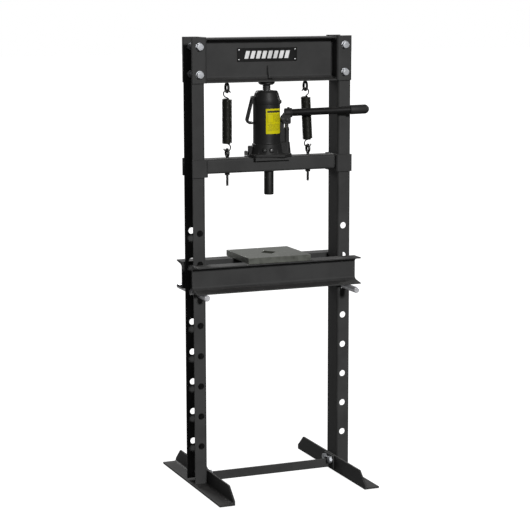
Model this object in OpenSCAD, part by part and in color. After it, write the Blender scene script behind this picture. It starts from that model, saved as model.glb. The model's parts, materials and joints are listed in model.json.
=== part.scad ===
// Hydraulic shop press: H frame, press beam with bottle jack, adjustable bed.
// Millimetres. +Z up, front at -Y. Origin on the floor, midway between the uprights.

/* [Frame] */
// overall height
press_h = 1303; // [1200:1:1400]
// how far the uprights stand above the head beam
ear_rise = 3; // [0:0.5:10]
// clear width between the uprights
clear_w = 414; // [380:1:460]
// depth of an upright
col_d = 74; // [65:1:90]
// flange width of an upright
col_b = 38; // [34:1:50]
// sheet thickness of an upright
col_t = 4; // [3:0.5:6]
// height of the upright's lower end
col_z0 = 10; // [6:1:20]
// length of a foot
foot_len = 490; // [420:5:560]
// flat leg width of a foot
foot_w = 46; // [40:1:60]
// upright leg height of a foot
foot_h = 48; // [40:1:60]
// thickness of a foot
foot_t = 5; // [4:0.5:8]

/* [Pin holes] */
// number of bed levels
levels = 8; // [4:1:9]
// distance between levels
hole_pitch = 89.3; // [80:0.1:100]
// height of the lowest level
hole_z0 = 122.2; // [100:0.1:160]
// pin hole diameter
hole_d = 19; // [16:0.5:22]
// pin diameter
pin_d = 17.5; // [15:0.5:20]
// pin length
pin_len = 240; // [200:5:300]
// level the bed stands on, counted from 0
bed_level = 5; // [0:1:6]

/* [Head] */
// height of the head beam
head_h = 126; // [100:1:160]
// flange width of the head beam
head_b = 74; // [60:1:90]
// plate thickness of the brackets
brk_t = 6; // [4:0.5:8]

/* [Press beam] */
// underside of the press beam
beam_z = 916; // [850:1:960]
// height of the press beam
beam_h = 41; // [35:1:60]
// depth of the press beam
beam_d = 58; // [40:1:66]
// diameter of the ram
ram_d = 28; // [20:0.5:40]
// how far the ram stands to the right of the middle
ram_x = 3; // [-10:0.5:10]
// ram length below the beam
ram_len = 70; // [40:1:120]

/* [Springs] */
// outside diameter of a spring
spring_od = 30; // [20:0.5:35]
// spring wire diameter
spring_wire = 3.6; // [2.5:0.1:5]
// upper hook distance from the middle, left side
hook_xl = 126; // [110:1:140]
// upper hook distance from the middle, right side
hook_xr = 118; // [110:1:140]
// lower eye bolt distance from the middle
eye_x = 126.5; // [110:0.5:140]

/* [Jack] */
// direction of the pump, degrees forward of the right-hand side
jack_yaw = 15; // [0:1:45]
// how far the jack stands to the right of the middle
jack_x = -3.8; // [-10:0.1:10]
// tank diameter
tank_d = 79; // [70:1:95]
// closed height of the jack with its screw as set
jack_h = 217; // [200:1:250]
// upward tilt of the handle
handle_tilt = 2.1; // [0:0.1:10]
// handle tube diameter
handle_d = 21; // [18:0.5:26]

/* [Bed] */
// how far the bed stands to the right of the middle
bed_x = 3.6; // [-5:0.1:5]
// length of a bed channel
bed_len = 512; // [460:1:560]
// height of a bed channel
bed_h = 79; // [60:1:100]
// overall flange width of a bed channel
bed_b = 47; // [38:1:60]
// where the arbor plates meet
plate_x = 4.5; // [-60:0.5:60]
plate_y = 9.5; // [-40:0.5:40]
// width of an arbor plate
plate_w = 97; // [70:1:120]
// depth of an arbor plate
plate_d = 178; // [150:1:220]
// thickness of an arbor plate
plate_t = 17; // [10:1:25]

/* [Hidden] */
$fn = 64;
hw = clear_w / 2;
cd2 = col_d / 2;
hole_x = hw + 18;
pin_z = hole_z0 + bed_level * hole_pitch;
head_z = press_h - ear_rise - head_h;
ear_y = cd2 + brk_t;
bed_z = pin_z + pin_d / 2 + 0.55;
bed_y = cd2 + 3.5;
plate_z = bed_z + bed_h;
jack_z = beam_z + beam_h;
m12 = 6;
af12 = 19;
bolt_z = [head_z + head_h - 23.5, head_z + 24.2];
foot_bolt_y = 19;
foot_bolt_z = 33;
slide_gap = 1.4;
eye_rise = [0, 4];
e = 0.01;
// jack, measured from its own foot
pump_x = 58.5;
pump_r = 5.5;
piv = [45.5, 107];
pl_pin_z = 105;
hub = [62, 125.6];
tank_z = 38;
cap_z = 152;
cap_top = 190;
piston_r = 18;
screw_r = 11.9;
valve_z = 10.5;
bail_p = [-41.3, 171];

module hexa(af, h) cylinder(r = af / 2 / cos(30), h = h, $fn = 6);

// bent channel section: back on the Y axis, flanges towards +X
module bent2(b, d, t, r) difference() {
  union() {
    translate([r, -d / 2]) square([b - r, d]);
    translate([0, -d / 2 + r]) square([r + e, d - 2 * r]);
    for (s = [-1, 1]) translate([r, s * (d / 2 - r)]) circle(r);
  }
  union() {
    translate([r, -d / 2 + t]) square([b, d - 2 * t]);
    translate([t, -d / 2 + r]) square([r - t + e, d - 2 * r]);
    for (s = [-1, 1]) translate([r, s * (d / 2 - r)]) circle(r - t);
  }
}

// root fillet between a web face at x = 0 and a flange face at y = 0
module fillet2(r) difference() {
  translate([-0.5, -r]) square([r + 0.5, r + 1.2]);
  translate([r, -r]) circle(r);
}

// rolled I section, centred
module isec2(b, h, tw, t1, t2, r) {
  a = tw / 2;
  polygon([[-b / 2, -h / 2], [b / 2, -h / 2], [b / 2, -h / 2 + t1], [a, -h / 2 + t2],
    [a, h / 2 - t2], [b / 2, h / 2 - t1], [b / 2, h / 2], [-b / 2, h / 2],
    [-b / 2, h / 2 - t1], [-a, h / 2 - t2], [-a, -h / 2 + t2], [-b / 2, -h / 2 + t1]]);
  for (s = [0, 1], m = [0, 1]) mirror([m, 0]) mirror([0, s])
    translate([a, h / 2 - t2]) fillet2(r);
}

// rolled channel section, back at x = 0, flanges towards +X
module csec2(b, h, tw, t1, t2, r) {
  polygon([[0, 0], [b, 0], [b, t1], [tw, t2], [tw, h - t2], [b, h - t1], [b, h], [0, h]]);
  translate([tw, h - t2]) fillet2(r);
  translate([tw, t2]) mirror([0, 1]) fillet2(r);
}

module upright() color([0.11, 0.11, 0.115]) difference() {
  translate([hw, 0, col_z0]) linear_extrude(press_h - col_z0) bent2(col_b, col_d, col_t, 8);
  for (i = [0 : levels - 1]) translate([hole_x, 0, hole_z0 + i * hole_pitch])
    rotate([90, 0, 0]) cylinder(d = hole_d, h = col_d + 20, center = true);
  for (z = bolt_z) translate([hole_x - 0.5, 0, z])
    rotate([90, 0, 0]) cylinder(r = m12 + 0.5, h = col_d + 20, center = true);
  for (y = [-1, 1]) translate([hw - 5, y * foot_bolt_y, foot_bolt_z])
    rotate([0, 90, 0]) cylinder(r = m12 + 0.5, h = 20);
}
module left_upright() mirror([1, 0, 0]) upright();
module right_upright() upright();

module foot() color([0.12, 0.12, 0.12]) difference() {
  translate([hw - foot_t, foot_len / 2, 0]) rotate([90, 0, 0]) linear_extrude(foot_len) {
    square([foot_w, foot_t]);
    square([foot_t, foot_h]);
    translate([foot_t, foot_t]) mirror([0, 1]) fillet2(5);
  }
  for (s = [-1, 1]) mirror([0, s > 0 ? 1 : 0, 0]) translate([hw - foot_t - 5, 0, 0])
    rotate([90, 0, 90]) linear_extrude(20)
      polygon([[-foot_len / 2 - 1, 13], [-foot_len / 2, 13], [-foot_len / 2 + 40, foot_h],
        [-foot_len / 2 + 40, foot_h + 5], [-foot_len / 2 - 1, foot_h + 5]]);
  for (y = [-1, 1]) translate([hw - 20, y * foot_bolt_y, foot_bolt_z])
    rotate([0, 90, 0]) cylinder(r = m12 + 0.5, h = 40);
}
module left_foot() mirror([1, 0, 0]) foot();
module right_foot() foot();

module foot_brace() color([0.12, 0.12, 0.12]) {
  x1 = hw - foot_t;
  translate([-x1 + 5 - e, -3, 6]) cube([2 * (x1 - 5) + 2 * e, 6, 26]);
  for (m = [0, 1]) mirror([m, 0, 0]) difference() {
    translate([x1 - 5, -32, 6]) cube([5, 64, 40]);
    for (y = [-1, 1]) translate([x1 - 9, y * foot_bolt_y, foot_bolt_z])
      rotate([0, 90, 0]) cylinder(r = m12 + 0.5, h = 12);
  }
}

module at_foot_bolts() for (m = [0, 1]) mirror([m, 0, 0]) for (y = [-1, 1])
  translate([hw - foot_t - 5, y * foot_bolt_y, foot_bolt_z]) rotate([0, 90, 0]) children();
module foot_bolts() color([0.75, 0.75, 0.77]) at_foot_bolts() {
  translate([0, 0, -9.5]) hexa(af12, 7.5);
  translate([0, 0, -3]) cylinder(r = m12, h = 32);
}
module foot_washers() color([0.7, 0.7, 0.72]) at_foot_bolts() for (z = [-2, 10 + col_t])
  translate([0, 0, z]) difference() {
    cylinder(r = 9.9, h = 2);
    translate([0, 0, -1]) cylinder(r = m12 + 0.4, h = 4);
  }
module foot_nuts() color([0.72, 0.72, 0.74]) at_foot_bolts() translate([0, 0, 12 + col_t])
  difference() {
    hexa(af12, 10);
    translate([0, 0, -1]) cylinder(r = m12 + 0.1, h = 12);
  }

module head_beam() color([0.11, 0.11, 0.115]) difference() {
  translate([-hw + brk_t, 0, head_z + head_h / 2]) rotate([90, 0, 90])
    linear_extrude(clear_w - 2 * brk_t) isec2(head_b, head_h, 5, 3.8, 10.2, 7);
  at_rivets() cylinder(r = 1.55, h = 12, center = true);
}
module head_bracket() color([0.115, 0.115, 0.12]) difference() {
  translate([hw - brk_t, 0, head_z]) linear_extrude(head_h + ear_rise)
    bent2(col_b + brk_t + 0.5, col_d + 2 * brk_t, brk_t, 8);
  for (z = bolt_z) translate([hole_x - 0.5, 0, z])
    rotate([90, 0, 0]) cylinder(r = m12 + 0.5, h = col_d + 40, center = true);
}
module head_left_bracket() mirror([1, 0, 0]) head_bracket();
module head_right_bracket() head_bracket();

module head_gussets() color([0.11, 0.11, 0.115]) for (m = [0, 1]) mirror([0, m, 0])
  translate([-2, 0, head_z + 10.2]) rotate([90, 0, 90]) linear_extrude(4)
    polygon([[2.5, 7.9], [10.2, -0.7], [12, -1.3], [12, 3], [7, 34], [2.5, 34]]);

module at_head_bolts() for (m = [0, 1], s = [0, 1], z = bolt_z) mirror([m, 0, 0])
  mirror([0, s, 0]) translate([hole_x - 0.5, -ear_y, z]) rotate([90, 0, 0]) children();
module head_bolts() color([0.75, 0.75, 0.77]) at_head_bolts() {
  translate([0, 0, 2]) rotate([0, 0, 12]) hexa(af12, 7.5);
  translate([0, 0, -24]) cylinder(r = m12, h = 28);
}
module head_washers() color([0.7, 0.7, 0.72]) at_head_bolts() difference() {
  cylinder(r = 11.5, h = 2);
  translate([0, 0, -1]) cylinder(r = m12 + 0.4, h = 4);
}
module head_nuts() color([0.72, 0.72, 0.74]) at_head_bolts()
  translate([0, 0, -brk_t - col_t - 10]) difference() {
    rotate([0, 0, 30]) hexa(af12, 10);
    translate([0, 0, -1]) cylinder(r = m12 + 0.1, h = 12);
  }

module at_rivets() for (x = [-90, 84], z = [-14, 14])
  translate([x, -2.5, head_z + 76.5 + z]) rotate([90, 0, 0]) children();
module name_plate() color([0.05, 0.05, 0.05]) difference() {
  translate([-96, -4.1, head_z + 57]) cube([186, 1.6, 39]);
  at_rivets() cylinder(r = 1.55, h = 12, center = true);
}
module name_plate_rivets() color([0.75, 0.75, 0.75]) at_rivets() {
  translate([0, 0, 1.6]) cylinder(r1 = 2.7, r2 = 1.8, h = 1.3);
  translate([0, 0, -5]) cylinder(r = 1.5, h = 6.7);
}

module ring(rr, rw) rotate([0, 90, 0]) rotate_extrude() translate([rr, 0]) circle(rw);
module spring_hangers() color([0.11, 0.11, 0.11]) for (x = [-hook_xl, hook_xr])
  translate([x, 0, head_z - 16]) {
    ring(12.2, 3.7);
    translate([0, 0, 12]) cylinder(r1 = 3, r2 = 5, h = 4);
  }

// plain tube with a hook at each end, from the upper hook's centre down to the lower one
module spring(l) {
  difference() {
    translate([0, 0, -l + 13.5]) cylinder(d = spring_od, h = l - 28.5);
    translate([0, 0, -l + 12]) cylinder(d = spring_od - 2 * spring_wire, h = l);
  }
  for (z = [0, -l]) translate([0, 0, z]) rotate([0, 0, 90]) ring(7, 1.75);
  translate([0, 0, -16.8]) cylinder(r = 1.75, h = 11);
  translate([0, 0, -16.8]) cylinder(r = spring_od / 2 - 1, h = 1.8);
  translate([0, 0, -l + 6]) cylinder(r = 1.75, h = 9);
  translate([0, 0, -l + 13.5]) cylinder(r = spring_od / 2 - 1, h = 1.8);
}
hook_z1 = head_z - 29.3;
hook_z2 = jack_z + 26.2;
module spring_between(x1, x2, dz) color([0.12, 0.12, 0.1]) translate([x1, 0, hook_z1])
  rotate([0, -atan((x2 - x1) / (hook_z1 - hook_z2 - dz)), 0])
    spring(norm([x2 - x1, hook_z1 - hook_z2 - dz]));
module left_spring() spring_between(-hook_xl, -eye_x, eye_rise[0]);
module right_spring() spring_between(hook_xr, eye_x, eye_rise[1]);

module moving_beam() color([0.115, 0.115, 0.12]) difference() {
  translate([-hw + slide_gap + brk_t, 0, beam_z + beam_h / 2]) rotate([90, 0, 90])
    linear_extrude(clear_w - 2 * slide_gap - 2 * brk_t) difference() {
      tube2(beam_d, beam_h, 6);
      tube2(beam_d - 8, beam_h - 8, 2);
    }
  for (x = [-eye_x, eye_x]) translate([x, 0, beam_z - 5]) cylinder(r = 4.5, h = beam_h + 10);
}
module tube2(w, h, r) {
  square([w - 2 * r, h], center = true);
  square([w, h - 2 * r], center = true);
  for (a = [-1, 1], b = [-1, 1]) translate([a * (w / 2 - r), b * (h / 2 - r)]) circle(r);
}
module beam_bracket() color([0.12, 0.12, 0.125]) translate([hw - slide_gap - brk_t, 0, beam_z - 8])
  linear_extrude(beam_h + 9) bent2(48, col_d + 2 * slide_gap + 2 * brk_t, brk_t, 8);
module beam_left_bracket() mirror([1, 0, 0]) beam_bracket();
module beam_right_bracket() beam_bracket();

module jack_ledges() color([0.12, 0.12, 0.12]) for (m = [0, 1]) mirror([0, m, 0])
  translate([-56, beam_d / 2, jack_z - 8]) cube([110, 16, 8]);

module press_ram() color([0.13, 0.13, 0.13]) {
  translate([ram_x, 0, beam_z - ram_len + 2]) cylinder(d = ram_d, h = ram_len - 2);
  translate([ram_x, 0, beam_z - ram_len]) cylinder(d1 = ram_d - 4, d2 = ram_d, h = 2);
}

module at_eyes() for (x = [-eye_x, eye_x]) translate([x, 0, jack_z]) children();
module beam_eye_bolts() color([0.16, 0.16, 0.16]) for (i = [0, 1])
  translate([(2 * i - 1) * eye_x, 0, jack_z + eye_rise[i]]) {
    translate([0, 0, 14.6]) ring(10.6, 3.7);
    translate([0, 0, -80]) cylinder(r = 3.9, h = 82);
  }
module eye_bolt_washers() color([0.3, 0.3, 0.3]) at_eyes() translate([0, 0, -beam_h - 1.6])
  difference() {
    cylinder(r = 8.5, h = 1.6);
    translate([0, 0, -1]) cylinder(r = 4.3, h = 4);
  }
module eye_bolt_nuts() color([0.2, 0.2, 0.2]) at_eyes() translate([0, 0, -beam_h - 8.1])
  difference() {
    hexa(13, 6.5);
    translate([0, 0, -1]) cylinder(r = 4, h = 9);
  }

// ---- bottle jack: x towards the pump, z up from the jack's own foot ----
module jk() translate([jack_x, 0, jack_z]) rotate([0, 0, -jack_yaw]) children();
module along_y(x, z) translate([x, 0, z]) rotate([90, 0, 0]) children();

module jack_base() color([0.14, 0.14, 0.15]) jk() difference() {
  union() {
    linear_extrude(9) polygon([[-38, -47], [48, -47], [71, -20], [71, 20], [48, 47], [-38, 47],
      [-54, 28], [-54, -28]]);
    translate([0, 0, 8]) cylinder(r1 = 47, r2 = 42, h = tank_z - 8);
    translate([-54, -12, 0]) cube([26, 24, 31]);
    translate([pump_x, 0, 8]) cylinder(r1 = 12.4, r2 = 9.4, h = 33);
    translate([28, -12, 0]) cube([30, 24, 30]);
    for (a = [-104, -78]) rotate([0, 0, a]) translate([40, 0, 21]) rotate([0, 90, 0])
      cylinder(r = 6, h = 8);
  }
  translate([pump_x, 0, 34]) cylinder(r = pump_r + 0.4, h = 20);
  translate([-60, 0, valve_z]) rotate([0, 90, 0]) cylinder(r = 5.05, h = 24);
}
module jack_tank() color([0.13, 0.13, 0.135]) jk() difference() {
  translate([0, 0, tank_z]) cylinder(d = tank_d, h = cap_z - tank_z);
  translate([0, 0, tank_z - 1]) cylinder(d = tank_d - 5, h = cap_z - tank_z + 2);
}
module jack_cylinder() color([0.35, 0.35, 0.36]) jk() difference() {
  translate([0, 0, tank_z]) cylinder(r = 24, h = 126);
  translate([0, 0, tank_z + 1]) cylinder(r = 19, h = 130);
}
module jack_cap() color([0.14, 0.14, 0.145]) jk() difference() {
  union() {
    translate([0, 0, cap_z]) cylinder(r = tank_d / 2 + 1, h = 11);
    translate([0, 0, cap_z + 11]) cylinder(r1 = tank_d / 2 + 1, r2 = 33.5, h = 22);
    translate([0, 0, cap_z + 33]) cylinder(r1 = 33.5, r2 = 30, h = cap_top - cap_z - 33);
  }
  translate([0, 0, cap_z - 1]) cylinder(r = piston_r + 0.05, h = 60);
  translate([0, 0, cap_z - 1]) cylinder(r = 24.4, h = 13.5);
  translate([31, 0, 157.5]) rotate([0, 90, 0]) cylinder(r = 4.6, h = 20);
}
module filler_plug() color([0.06, 0.06, 0.06]) jk() translate([34, 0, 157.5]) rotate([0, 90, 0]) {
  cylinder(r = 4.5, h = 8.5);
  translate([0, 0, 7.6]) cylinder(r = 5.4, h = 2.2);
}
module jack_piston() color([0.7, 0.7, 0.72]) jk() difference() {
  union() {
    translate([0, 0, 40]) cylinder(r = piston_r, h = cap_top - 40.5);
    translate([0, 0, 39.5]) cylinder(r = 18.95, h = 4.5);
  }
  translate([0, 0, 100]) cylinder(r = screw_r + 0.4, h = 100);
}
module extension_screw() color([0.3, 0.3, 0.31]) jk() {
  translate([0, 0, 118]) cylinder(r = screw_r, h = jack_h - 10 - 118 + e);
  translate([0, 0, jack_h - 10]) cylinder(r1 = 18.5, r2 = 23, h = 4);
  translate([0, 0, jack_h - 6]) cylinder(r1 = 23, r2 = 24, h = 5.8);
}
module pump_cylinder() color([0.16, 0.16, 0.165]) jk() difference() {
  translate([pump_x, 0, 41]) cylinder(r = 7.4, h = 43);
  translate([pump_x, 0, 40]) cylinder(r = pump_r + 0.05, h = 60);
}
module pump_plunger() color([0.8, 0.8, 0.82]) jk() difference() {
  translate([pump_x, 0, 46]) cylinder(r = pump_r, h = 63.5);
  along_y(pump_x, pl_pin_z) cylinder(r = 2.55, h = 40, center = true);
}
module plunger_pin() color([0.75, 0.75, 0.77]) jk() along_y(pump_x, pl_pin_z)
  cylinder(r = 2.5, h = 28, center = true);
module pump_bracket() color([0.15, 0.15, 0.15]) jk() difference() {
  union() {
    translate([37, -6.5, 41.3]) cube([13.6, 13, piv[1] - 41.3]);
    along_y(piv[0], piv[1]) cylinder(r = 5.1, h = 13, center = true);
  }
  translate([0, 0, 20]) cylinder(d = tank_d + 0.04, h = 100);
  along_y(piv[0], piv[1]) cylinder(r = 3.05, h = 40, center = true);
}
module lever_pivot_pin() color([0.75, 0.75, 0.77]) jk() along_y(piv[0], piv[1])
  cylinder(r = 3, h = 28, center = true);

module hd() jk() translate([hub[0], 0, hub[1]]) rotate([0, 90 - handle_tilt, 0]) children();
module pump_lever() color([0.13, 0.13, 0.13]) difference() {
  union() {
    hd() translate([0, 0, -10]) cylinder(r = 13, h = 22);
    for (s = [0, 1]) mirror2(s) jk() translate([0, 12, 0]) rotate([90, 0, 0]) linear_extrude(4)
      polygon([[40.7, 109], [40.7, 104], [50, 94], [67, 94], [69, 97], [69, 122], [60, 127],
        [53, 127], [44, 116]]);
  }
  hd() translate([0, 0, -20]) cylinder(r = handle_d / 2 + 0.3, h = 60);
  jk() along_y(piv[0], piv[1]) cylinder(r = 3.05, h = 40, center = true);
  jk() along_y(pump_x, pl_pin_z) {
    for (x = [-3.1, 3.1]) translate([x, 0, 0]) cylinder(r = 3.1, h = 40, center = true);
    cube([6.2, 6.2, 40], center = true);
  }
}
module mirror2(s) translate([jack_x, 0, 0]) rotate([0, 0, -jack_yaw]) mirror([0, s, 0])
  rotate([0, 0, jack_yaw]) translate([-jack_x, 0, 0]) children();
module handle_tube() color([0.12, 0.12, 0.12]) hd() difference() {
  translate([0, 0, -8]) cylinder(d = handle_d, h = 242);
  translate([0, 0, -9]) cylinder(d = handle_d - 4, h = 260);
}
module handle_grip() color([0.07, 0.07, 0.07]) hd() difference() {
  translate([0, 0, 183]) rotate_extrude() difference() {
    union() {
      square([13.5, 48]);
      square([5.5, 56]);
      translate([5.5, 48]) circle(8);
    }
    translate([-1, -1]) square([handle_d / 2 + 1.05, 53]);
    translate([-20, -5]) square([20, 70]);
  }
  translate([0, -16, 227]) rotate([-90, 0, 0]) cylinder(r = 4, h = 4.4);
}

module release_valve() color([0.6, 0.6, 0.62]) jk() difference() {
  translate([-65, 0, valve_z]) rotate([0, 90, 0]) union() {
    cylinder(r = 7, h = 10.6);
    translate([0, 0, 10]) cylinder(r = 5, h = 17);
  }
  translate([-66, -1.6, valve_z - 8]) cube([6, 3.2, 16]);
}
module carry_handle_lug() color([0.14, 0.14, 0.14]) jk() difference() {
  translate([bail_p[0] - 4, -12, bail_p[1] - 4]) cube([14, 24, 8]);
  along_y(bail_p[0], bail_p[1]) cylinder(r = 2.05, h = 40, center = true);
  translate([0, 0, cap_z + 11]) cylinder(r1 = tank_d / 2 + 1.03, r2 = 33.53, h = 22);
}
module rod(p, q, r) {
  v = q - p;
  translate(p) rotate([0, atan2(norm([v[0], v[1]]), v[2]), atan2(v[1], v[0])])
    cylinder(r = r, h = norm(v));
}
module carry_handle() color([0.13, 0.13, 0.13]) jk() {
  for (s = [-1, 1]) {
    a = [bail_p[0], s * 16.5, bail_p[1]];
    b = [-57.5, s * 16.5, 106];
    c = [-53, s * 16.5, 97.5];
    d = [-43.4, s * 16.5, 98];
    rod(a, b, 3.4);
    rod(b, c, 3.4);
    rod(c, d, 3.4);
    for (p = [a, b, c, d]) translate(p) sphere(r = 3.7);
    rod([bail_p[0], s * 5, bail_p[1]], a, 2);
  }
  rod([-43.4, -16.5, 98], [-43.4, 16.5, 98], 3.4);
}
module jack_label() color([0.8, 0.78, 0.12]) jk() intersection() {
  translate([0, 0, 68]) difference() {
    cylinder(r = tank_d / 2 + 0.45, h = 72);
    translate([0, 0, -1]) cylinder(r = tank_d / 2 + 0.05, h = 76);
  }
  translate([0, 0, 60]) linear_extrude(90)
    polygon([[0, 0], [60 * cos(-100), 60 * sin(-100)], [80 * cos(-61), 80 * sin(-61)],
      [60 * cos(-22), 60 * sin(-22)]]);
}

// ---- bed ----
module bed_channel() color([0.115, 0.115, 0.12]) translate([bed_x + bed_len / 2, -bed_y, bed_z])
  rotate([90, 0, -90]) linear_extrude(bed_len) csec2(bed_b, bed_h, 5.3, 3.4, 9.8, 8);
module bed_front_channel() bed_channel();
module bed_rear_channel() mirror([0, 1, 0]) bed_channel();
module bed_spacers() color([0.11, 0.11, 0.11]) translate([bed_x, 0, 0]) for (m = [0, 1])
  mirror([m, 0, 0]) translate([hw - 12, -bed_y, bed_z + 14]) cube([6, 2 * bed_y, 50]);

module bed_pin() color([0.72, 0.72, 0.74]) rotate([90, 0, 0]) {
  cylinder(r1 = pin_d / 2 - 1.2, r2 = pin_d / 2, h = 2);
  translate([0, 0, 2]) cylinder(d = pin_d, h = pin_len - 4);
  translate([0, 0, pin_len - 2]) cylinder(r1 = pin_d / 2, r2 = pin_d / 2 - 1.2, h = 2);
}
module left_bed_pin() translate([-hole_x, pin_len - 94, pin_z]) bed_pin();
module right_bed_pin() translate([hole_x, pin_len - 133, pin_z]) bed_pin();

module arbor_plate() color([0.17, 0.175, 0.16]) linear_extrude(plate_t)
  polygon([[0.2, -plate_d / 2], [plate_w, -plate_d / 2], [plate_w, plate_d / 2],
    [0.2, plate_d / 2], [0.2, 30], [24, 0], [0.2, -30]]);
module left_arbor_plate() translate([plate_x, plate_y, plate_z]) mirror([1, 0, 0]) arbor_plate();
module right_arbor_plate() translate([plate_x, plate_y, plate_z]) arbor_plate();

left_upright();
right_upright();
left_foot();
right_foot();
foot_brace();
foot_bolts();
foot_washers();
foot_nuts();
head_beam();
head_left_bracket();
head_right_bracket();
head_gussets();
head_bolts();
head_washers();
head_nuts();
name_plate();
name_plate_rivets();
spring_hangers();
left_spring();
right_spring();
moving_beam();
beam_left_bracket();
beam_right_bracket();
jack_ledges();
press_ram();
beam_eye_bolts();
eye_bolt_washers();
eye_bolt_nuts();
jack_base();
jack_tank();
jack_cylinder();
jack_cap();
filler_plug();
jack_piston();
extension_screw();
pump_cylinder();
pump_plunger();
plunger_pin();
pump_bracket();
lever_pivot_pin();
pump_lever();
handle_tube();
handle_grip();
release_valve();
carry_handle_lug();
carry_handle();
jack_label();
bed_front_channel();
bed_rear_channel();
bed_spacers();
left_bed_pin();
right_bed_pin();
left_arbor_plate();
right_arbor_plate();
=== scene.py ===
"""Looks of the hydraulic shop press: materials for the CAD nodes and detailed pieces over the simple ones.

Lengths inside the builders are millimetres in a local frame; each builder gets a matrix that places
them in the row frame, in metres.
"""
import json
import math
import random

import bmesh
import bpy
from mathutils import Matrix, Vector


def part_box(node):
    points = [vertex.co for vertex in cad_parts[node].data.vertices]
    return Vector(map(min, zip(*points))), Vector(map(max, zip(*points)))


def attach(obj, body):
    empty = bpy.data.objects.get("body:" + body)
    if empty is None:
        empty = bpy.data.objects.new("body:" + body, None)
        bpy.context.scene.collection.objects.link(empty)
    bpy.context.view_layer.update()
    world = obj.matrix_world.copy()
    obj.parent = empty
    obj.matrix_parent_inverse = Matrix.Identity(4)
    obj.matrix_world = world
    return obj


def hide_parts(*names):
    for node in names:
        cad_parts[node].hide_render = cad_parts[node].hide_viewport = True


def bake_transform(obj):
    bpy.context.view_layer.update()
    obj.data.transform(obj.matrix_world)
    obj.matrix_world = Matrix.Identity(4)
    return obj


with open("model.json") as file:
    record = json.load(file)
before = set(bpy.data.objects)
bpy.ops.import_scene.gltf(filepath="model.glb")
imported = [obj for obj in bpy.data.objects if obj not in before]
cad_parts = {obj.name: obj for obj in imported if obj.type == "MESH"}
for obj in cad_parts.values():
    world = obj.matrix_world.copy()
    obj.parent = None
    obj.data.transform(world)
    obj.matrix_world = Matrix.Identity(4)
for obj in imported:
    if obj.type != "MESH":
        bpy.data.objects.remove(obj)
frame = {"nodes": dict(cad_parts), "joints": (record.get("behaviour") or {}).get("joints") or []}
nodes = frame["nodes"]
joints = {j["name"]: j for j in frame["joints"]}
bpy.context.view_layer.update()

MM = 0.001
TAU = 2 * math.pi
scene = bpy.context.scene


# ---------------------------------------------------------------- node materials
class Shader:
    """A small node-tree builder."""

    def __init__(self, name):
        self.mat = bpy.data.materials.new(name)
        self.mat.use_nodes = True
        self.tree = self.mat.node_tree
        self.bsdf = self.tree.nodes["Principled BSDF"]

    def add(self, kind, inputs=None, **props):
        n = self.tree.nodes.new("ShaderNode" + kind)
        for key, value in props.items():
            setattr(n, key, value)
        for key, value in (inputs or {}).items():
            self.put(n.inputs[key], value)
        return n

    def put(self, socket, value):
        if isinstance(value, bpy.types.NodeSocket):
            self.tree.links.new(value, socket)
        else:
            socket.default_value = value

    def set(self, **values):
        for key, value in values.items():
            self.put(self.bsdf.inputs[key.replace("_", " ")], value)

    def coords(self, scale=(1, 1, 1)):
        tc = self.add("TexCoord")
        return self.add("Mapping", {"Vector": tc.outputs["Object"], "Scale": scale}).outputs["Vector"]

    def noise(self, scale, detail=3.0, rough=0.55, vector=None, distortion=0.0):
        n = self.add("TexNoise", {"Scale": scale, "Detail": detail, "Roughness": rough,
                                  "Distortion": distortion})
        self.put(n.inputs["Vector"], vector or self.coords())
        return n.outputs["Fac"]

    def ramp(self, fac, low, high, a=0.0, b=1.0, smooth=True):
        n = self.add("MapRange", {"Value": fac, "From Min": low, "From Max": high,
                                  "To Min": a, "To Max": b})
        n.interpolation_type = "SMOOTHSTEP" if smooth else "LINEAR"
        return n.outputs["Result"]

    def math(self, op, a, b=0.0, c=0.0):
        n = self.add("Math", operation=op)
        for i, value in enumerate((a, b, c)):
            self.put(n.inputs[i], value)
        return n.outputs[0]

    def mix(self, fac, a, b):
        n = self.add("Mix", data_type="RGBA")
        self.put(n.inputs[0], fac)
        self.put(n.inputs[6], a)
        self.put(n.inputs[7], b)
        return n.outputs[2]

    def edge(self, radius, low=0.02, high=0.30):
        """1 on edges that stand out or in, 0 on flat faces."""
        bevel = self.add("Bevel", {"Radius": radius}, samples=4)
        geo = self.add("NewGeometry")
        dot = self.add("VectorMath", operation="DOT_PRODUCT")
        self.put(dot.inputs[0], bevel.outputs["Normal"])
        self.put(dot.inputs[1], geo.outputs["Normal"])
        bend = self.math("SUBTRACT", 1.0, dot.outputs["Value"])
        return self.ramp(bend, low, high)

    def bump(self, height, strength, distance, normal=None):
        n = self.add("Bump", {"Height": height, "Strength": strength, "Distance": distance})
        if normal is not None:
            self.put(n.inputs["Normal"], normal)
        return n.outputs["Normal"]

    def soft_edges(self, radius):
        return self.add("Bevel", {"Radius": radius}, samples=4).outputs["Normal"]


def grey(v, warm=0.0):
    return (v * (1 + warm), v, v * (1 - warm), 1)


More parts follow.
